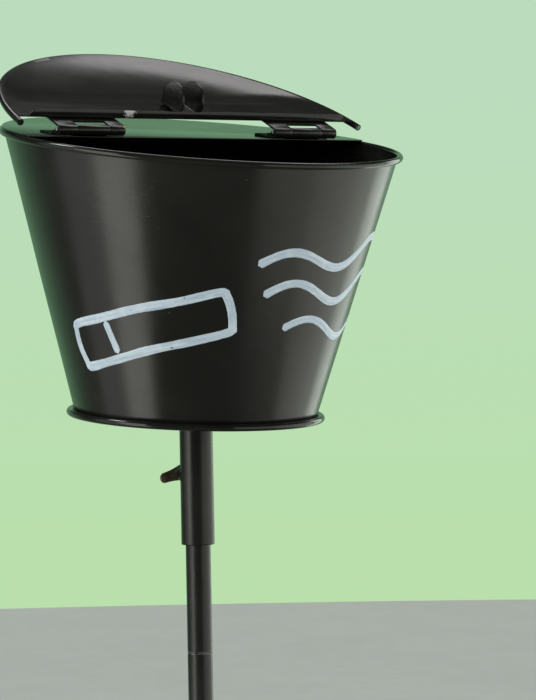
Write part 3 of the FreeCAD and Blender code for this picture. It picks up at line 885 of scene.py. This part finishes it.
def strokeMesh(points, seed, width, closed=False):
    line = throughPoints(points, closed)
    half, count, across = width / 2, len(line), marking["across"]
    lengths = [0.0]
    for before, after in zip(line, line[1:]):
        lengths.append(lengths[-1] + (after - before).length)
    verts, uvs = [], []
    for index, (spot, length) in enumerate(zip(line, lengths)):
        ahead = line[min(index + 1, count - 1)] - line[max(index - 1, 0)]
        if closed and index in (0, count - 1):
            ahead = line[1] - line[-2]
        side = Vector((-ahead.y, ahead.x)).normalized()
        fromEnd = min(length, lengths[-1] - length)
        wide = half * (1 + 0.13 * wander(length / 17, seed, 0) + 0.05 * wander(length / 3, seed, 5))
        if not closed:
            wide *= 1 + 0.10 * math.exp(-((fromEnd - half) / 3.0) ** 2)   # paint gathers at the ends
            if fromEnd < half:
                wide *= math.sqrt(max(1 - (1 - fromEnd / half) ** 2, 0.0)) * 0.999 + 0.001
        shares = [2 * k / across - 1 for k in range(across + 1)]
        for share in shares:
            jitter = 0.10 * wander(length / 2.2, share * 3, seed + 9) if abs(share) == 1 else 0
            place = spot + side * (share * wide + jitter)
            crown = marking["thick"] * (1 - share ** 4) * (1 + 0.35 * wander(length / 30, share * 4, seed))
            angle, up = markPoint(place.x, place.y)
            verts.append(wallPoint(angle, up) + wallNormal(angle, up) * (marking["clear"] + crown))
        for share in reversed(shares):
            place = spot + side * (share * wide)
            angle, up = markPoint(place.x, place.y)
            verts.append(wallPoint(angle, up) - wallNormal(angle, up) * marking["sunk"])
        uvs += [(length * mm, (share + 1) / 2 * width * mm) for share in shares + shares[::-1]]
    faces = skin(count, 2 * (across + 1), capped=not closed)
    mesh = bpy.data.meshes.new("stroke")
    mesh.from_pydata([vert * mm for vert in verts], [], faces)
    layer = mesh.uv_layers.new(name="along")
    for loop in mesh.loops:
        layer.data[loop.index].uv = uvs[loop.vertex_index]
    work = bmesh.new()
    work.from_mesh(mesh)
    bmesh.ops.recalc_face_normals(work, faces=work.faces)
    work.to_mesh(mesh)
    work.free()
    return mesh


def wave(start, end, height, turns, points):
    # a lazy wave from one place to another
    shares = [k / (points - 1) for k in range(points)]
    return [(start[0] + (end[0] - start[0]) * share,
             start[1] + (end[1] - start[1]) * share + height * math.sin(2 * math.pi * turns * share))
            for share in shares]


def makeMarking(look):
    width = marking["width"]
    # the cigarette: its outline, then the filter's line
    middle, half, tall = Vector((-97, 62)), 60, 13.5
    tilted = Matrix.Rotation(math.radians(15), 2)
    sketch = [(-1, -0.7), (-0.95, -1), (-0.5, -1.04), (0, -0.98), (0.5, -1.02), (0.95, -1), (1, -0.75),
              (1.02, 0), (1, 0.75), (0.94, 1), (0.5, 0.97), (0, 1.03), (-0.5, 0.98), (-0.94, 1), (-1, 0.7),
              (-1.03, 0)]
    outline = [middle + tilted @ Vector((x * half, y * tall)) for x, y in sketch]
    filterLine = [middle + tilted @ Vector((-0.45 * half + lean, y * tall))
                  for lean, y in ((1.5, -0.8), (0.3, 0), (-0.8, 0.8))]
    strokes = [(outline, width, True), (filterLine, 0.86 * width, False)]
    # the smoke
    strokes.append((wave((-24, 108), (160, 122), 7.0, 2.2, 23), width, False))
    strokes.append((wave((-18, 88), (150, 94), 7.5, 2.0, 21), 0.96 * width, False))
    strokes.append((wave((0, 66), (164, 62), 6.5, 1.9, 21), 0.9 * width, False))
    meshes = [strokeMesh(points, seed, size, closed) for seed, (points, size, closed) in enumerate(strokes)]
    addPiece("wallMarking", joined(meshes), look, "bucket", footPlace, (), 60)


# studio

studio = dict(floorRadius=8.0, floorSides=160, floor=(0.78, 0.81, 0.77, 1),
              backdropLow=(0.49, 0.74, 0.41, 1), backdropHigh=(0.50, 0.72, 0.51, 1), horizon=(-0.1, 0.08),
              glow=(0.21, 0.41, 0.24, 1), glowToward=(0.54, 0.84, 0), glowAcross=(0.35, 0.85),
              glowUp=(0.42, 0.22), dark=(0.03, 0.031, 0.03, 1), lowDark=(0.13, 0.135, 0.115, 1),
              below=(0.0, -0.25), soft=(0.60, 0.62, 0.60, 1), lampsAt=(0, 0, 0.9), levelLamps=1.5,
              camera=(-1.19988, -1.86038, 0.89723), cameraTurn=(89.169, 1.041, -34.055), lens=177.575)
lamps = [
    dict(name="leftBoxNear", at=(-1.20, -0.02, 0.70), size=(0.55, 1.7), power=6.5, color=(1.0, 1.01, 0.92)),
    dict(name="leftBoxFar", at=(-1.05, 0.50, 0.70), size=(0.6, 1.7), power=1.7, color=(1.0, 0.995, 0.98)),
    dict(name="rightFront", at=(0.67, -1.67, 0.60), size=(1.3, 1.9), power=6.0, color=(1.0, 1.01, 0.92)),
    dict(name="rightSide", at=(1.66, -0.70, 0.65), size=(1.7, 1.9), power=11, color=(1.0, 1.01, 0.92)),
    dict(name="rightBack", at=(1.73, 0.50, 0.80), size=(0.7, 1.9), power=7, color=(0.99, 1.0, 0.96)),
    dict(name="leftTop", at=(-0.80, 0.68, 2.15), size=(0.3, 0.3), power=4.5, color=(1.0, 1.0, 0.97)),
    dict(name="overhead", at=(0.62, 0.45, 2.25), size=(1.5, 0.6), power=7.0, color=(1.0, 0.98, 0.98)),
]


def makeFloor():
    s = studio
    edge, radius = s["floorSides"], s["floorRadius"] / mm
    points = [(0, 0, 0)] + [ringPoint(radius, 2 * math.pi * k / edge) for k in range(edge)]
    mesh = meshOf(points, [[0, k + 1, (k + 1) % edge + 1] for k in range(edge)])
    mesh.materials.append(floorPaint("paleFloor", s["floor"]))
    floor = bpy.data.objects.new("floor", mesh)
    bpy.context.scene.collection.objects.link(floor)
    floor.visible_glossy = False   # the bin's gloss doesn't show the floor
    unlit = bpy.data.collections.new("floorOnly")   # the lamps leave the floor to the even room light
    unlit.objects.link(floor)
    unlit.collection_objects[0].light_linking.link_state = "EXCLUDE"
    return unlit


def makeRoom():
    s = studio
    world = bpy.data.worlds.new("studio")
    bpy.context.scene.world = world
    n = Nodes(world, "Generated")
    height = n.level()
    # what gloss mirrors: a pale green backdrop low behind the bin, in a dark room
    facing = n.added("ShaderNodeVectorMath", {0: n.place, 1: s["glowToward"]}, "Value",
                     operation="DOT_PRODUCT")
    glow = n.math("MULTIPLY", n.ramp(facing, *s["glowAcross"]), n.ramp(height, *s["glowUp"]))
    room = n.mix(n.ramp(height, *s["below"]), s["dark"], s["lowDark"])
    path = n.added("ShaderNodeLightPath", {}).node.outputs
    even = n.mix(path["Is Diffuse Ray"], n.mix(glow, room, s["glow"]), s["soft"])
    lighting = n.tree.nodes["Background"]
    n.plug(even, lighting.inputs["Color"])
    backdrop = n.mix(n.ramp(height, *s["horizon"]), s["backdropLow"], s["backdropHigh"])
    seen = n.added("ShaderNodeBackground", {"Color": backdrop})
    mix = n.added("ShaderNodeMixShader", {0: path["Is Camera Ray"], 1: lighting.outputs[0], 2: seen})
    n.plug(mix, n.tree.nodes["World Output"].inputs[0])


def makeLamps(receivers):
    for lamp in lamps:
        light = bpy.data.lights.new(lamp["name"], "AREA")
        light.shape = "RECTANGLE"
        light.size, light.size_y = lamp["size"]
        light.energy = lamp["power"]
        light.color = lamp["color"]
        holder = bpy.data.objects.new(lamp["name"], light)
        holder.location = lamp["at"]
        aim = Vector(studio["lampsAt"]) - Vector(lamp["at"])
        if lamp["at"][2] < studio["levelLamps"]:
            aim.z = 0
        holder.rotation_euler = aim.to_track_quat("-Z", "Y").to_euler()
        holder.visible_camera = False
        holder.light_linking.receiver_collection = receivers
        bpy.context.scene.collection.objects.link(holder)


def makeCamera():
    s = studio
    camera = bpy.data.objects.new("camera", bpy.data.cameras.new("camera"))
    camera.location = s["camera"]
    camera.rotation_euler = [math.radians(angle) for angle in s["cameraTurn"]]
    camera.data.sensor_fit = "VERTICAL"
    camera.data.sensor_height = 36
    camera.data.lens = s["lens"]
    bpy.context.scene.collection.objects.link(camera)
    bpy.context.scene.camera = camera
    bpy.context.scene.view_settings.view_transform = "Standard"


# chips through the paint, by the left hinge
bareZinc = (0.62, 0.62, 0.58, 1)
brassTone = (0.45, 0.24, 0.06, 1)
lipCorner = lidPlace @ (Vector((-47, hingeY - lid["edge"], lid["under"] - lid["lip"] + 0.4)) * mm)
hingeCorner = rimPlace @ (Vector((-56.5, hingeY - 2.5, hingeZ + 2.6)) * mm)

looks = dict(
    wall=enamel("bucketEnamel", scuff=bucketScuff),
    lid=enamel("lidEnamel", chips=[(lipCorner, 0.0035, bareZinc)], roughness=(0.15, 0.185)),
    cover=enamel("coverEnamel", roughness=(0.1, 0.13), scratches=False, waveDepth=0.00001),
    bead=enamel("beadEnamel", roughness=(0.08, 0.16), scratches=False, waveDepth=0.00002),
    tube=enamel("socketEnamel", scratches=False, roughness=(0.26, 0.34)),
    hinge=enamel("hingeEnamel", chips=[(hingeCorner, 0.0013, brassTone)], scratches=False,
                 roughness=(0.2, 0.32), grain=2200, grainDepth=0.00002),
    # the pole's lighter ring at its joint is a painted highlight
    pole=enamel("polePaint", scratches=False, highlightRingAt=jointNamed["pole_turn"]["pos_m"][2],
                roughness=(0.26, 0.36), grain=800, grainDepth=0.00014, waveDepth=0.00001,
                pale=(0.02, 0.02, 0.018, 1)),
    fastener=enamel("blackFastener", scratches=False, roughness=(0.24, 0.4), grain=900, grainDepth=0.00015,
                    color=(0.022, 0.019, 0.013, 1), pale=(0.07, 0.055, 0.03, 1), speckShare=0.02),
    steel=steel("bareSteel"),
    rubber=rubber("footRubber"),
    white=whitePaint("whiteMarking"),
)

makeLamps(makeFloor())
makeRoom()
makeCamera()
print("studio ready")
makeBucketWall(looks["wall"], looks["bead"])
makeWallSeam(looks["wall"])
makeBucketBottom(looks["wall"], looks["bead"])
print("bucket ready")
makeCoverPlate(looks["cover"])
makeHinge(-1, "left", looks)
makeHinge(1, "right", looks)
makeHingeRivets(looks["hinge"])
print("cover and hinges ready")
makeLidPanel(looks["lid"])
makeRestBracket(looks["hinge"])
print("lid ready")
makeSocket(looks)
makeWingScrew(looks["fastener"])
makeStand(looks)
print("stand ready")
makeMarking(looks["white"])
for name, node in frame["nodes"].items():
    if not node.hide_render:
        node.data.materials.clear()
        node.data.materials.append(looks["steel"])
        print("kept from the frame:", name)
